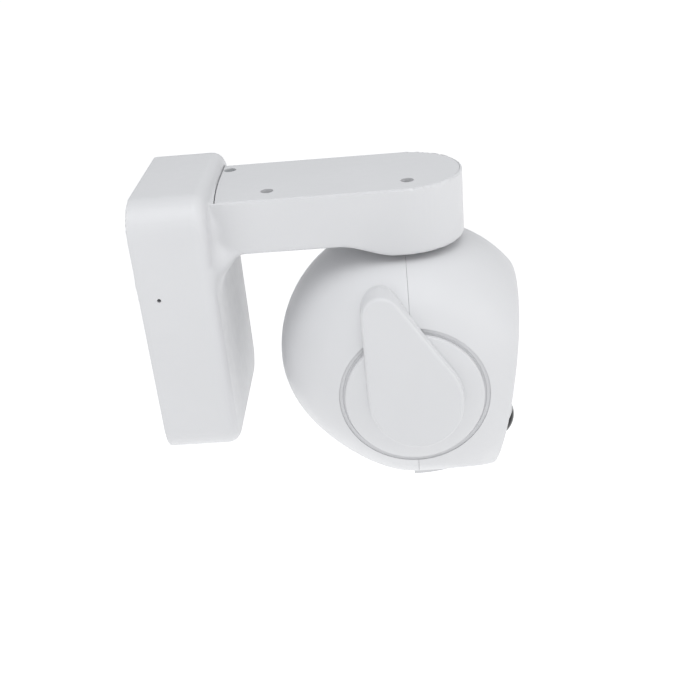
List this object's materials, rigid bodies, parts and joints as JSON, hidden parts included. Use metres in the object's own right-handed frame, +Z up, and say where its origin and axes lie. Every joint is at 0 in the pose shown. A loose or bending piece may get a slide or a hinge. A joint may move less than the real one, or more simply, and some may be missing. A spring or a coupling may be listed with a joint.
{
  "type": "baby monitor camera",
  "caption": "Wall mounted baby monitor camera: a wall box with an arm carries a ball head that pans, with a tilting lens unit and a side antenna paddle.",
  "frame": {"origin": "Centre of the wall plate's back face, midway between its two screw holes.", "axes": "+Z is up along the wall. +X points away from the wall along the arm to the pan axis. The tilt axis runs along Y."},
  "size_m": [0.1451, 0.1103, 0.135],
  "materials": {
    "wall_plate": "zinc plated, satin",
    "lock_screw": "zinc plated",
    "main_housing": "satin, fine spark texture",
    "rear_cover": "satin",
    "rear_cover_screws": "zinc plated",
    "arm_cover": "satin, fine spark texture",
    "arm_cover_screws": "dark zinc",
    "screw_cap": "matt",
    "main_board": "solder mask",
    "power_inlet": "plated",
    "speaker": "paper cone in a dark frame",
    "microphone": "matt",
    "flex_cable": "polyimide ribbon",
    "pan_motor": "drawn steel can",
    "pan_pinion": "natural acetal",
    "pan_gear": "natural acetal",
    "pan_bush": "natural acetal",
    "pan_hub": "satin",
    "pan_clip": "spring steel",
    "hub_screws": "zinc plated",
    "head_rear_shell": "satin, fine spark texture",
    "head_front_shell": "satin, fine spark texture",
    "head_frame": "matt",
    "head_board": "solder mask",
    "tilt_motor": "drawn steel can",
    "tilt_pinion": "natural acetal",
    "tilt_bushes": "natural acetal",
    "side_cap": "satin",
    "antenna_seat": "satin",
    "antenna_disc": "satin",
    "antenna_paddle": "satin",
    "antenna_element": "copper foil",
    "antenna_washer": "spring steel",
    "antenna_screw": "zinc plated",
    "tilt_gear": "natural acetal",
    "lens_housing": "satin",
    "lens_bezel": "gloss black",
    "lens_dome": "smoked, polished",
    "lens_barrel": "matt black",
    "lens_glass": "coated glass",
    "sensor_board": "solder mask",
    "ir_window": "smoked, polished",
    "ir_leds": "clear epoxy",
    "light_sensor": "clear epoxy"
  },
  "bodies": {
    "wall_mount": {"wall_plate": "wall_plate", "lock_screw": "lock_screw", "main_housing": "main_housing", "rear_cover": "rear_cover", "rear_cover_screws": "rear_cover_screws", "arm_cover": "arm_cover", "arm_cover_screws": "arm_cover_screws", "screw_cap": "screw_cap", "main_board": "main_board", "power_inlet": "power_inlet", "speaker": "speaker", "microphone": "microphone", "flex_cable": "flex_cable", "pan_motor": "pan_motor", "pan_bush": "pan_bush"},
    "pan_pinion_body": {"pan_pinion": "pan_pinion"},
    "head": {"pan_gear": "pan_gear", "pan_hub": "pan_hub", "pan_clip": "pan_clip", "hub_screws": "hub_screws", "head_rear_shell": "head_rear_shell", "head_front_shell": "head_front_shell", "head_frame": "head_frame", "head_board": "head_board", "tilt_motor": "tilt_motor", "tilt_bushes": "tilt_bushes", "side_cap": "side_cap", "antenna_seat": "antenna_seat"},
    "tilt_pinion_body": {"tilt_pinion": "tilt_pinion"},
    "antenna": {"antenna_disc": "antenna_disc", "antenna_paddle": "antenna_paddle", "antenna_element": "antenna_element", "antenna_washer": "antenna_washer", "antenna_screw": "antenna_screw"},
    "lens_unit": {"tilt_gear": "tilt_gear", "lens_housing": "lens_housing", "lens_bezel": "lens_bezel", "lens_dome": "lens_dome", "lens_barrel": "lens_barrel", "lens_glass": "lens_glass", "sensor_board": "sensor_board", "ir_window": "ir_window", "ir_leds": "ir_leds", "light_sensor": "light_sensor"}
  },
  "joints": [
    {"name": "head_pan", "type": "hinge", "parent": "wall_mount", "child": "head", "pos_m": [0.101, 0, 0], "axis": [0, 0, 1], "range_deg": [-160, 160]},
    {"name": "pan_pinion_spin", "type": "hinge", "parent": "wall_mount", "child": "pan_pinion_body", "pos_m": [0.0872, 0, 0.032], "axis": [0, 0, 1], "range_deg": [-454, 454]},
    {"name": "lens_tilt", "type": "hinge", "parent": "head", "child": "lens_unit", "pos_m": [0.101, 0, -0.0275], "axis": [0, 1, 0], "range_deg": [-40, 45]},
    {"name": "tilt_pinion_spin", "type": "hinge", "parent": "head", "child": "tilt_pinion_body", "pos_m": [0.07944, 0.019, -0.01505], "axis": [0, 1, 0], "range_deg": [-190, 190]},
    {"name": "antenna_fold", "type": "hinge", "parent": "head", "child": "antenna", "pos_m": [0.101, -0.045, -0.0275], "axis": [0, 1, 0], "range_deg": [-75, 105]}
  ],
  "couplings": [
    {"joint": "pan_pinion_spin", "follows": "head_pan", "ratio": -2.8333},
    {"joint": "tilt_pinion_spin", "follows": "lens_tilt", "ratio": -4.1667}
  ]
}
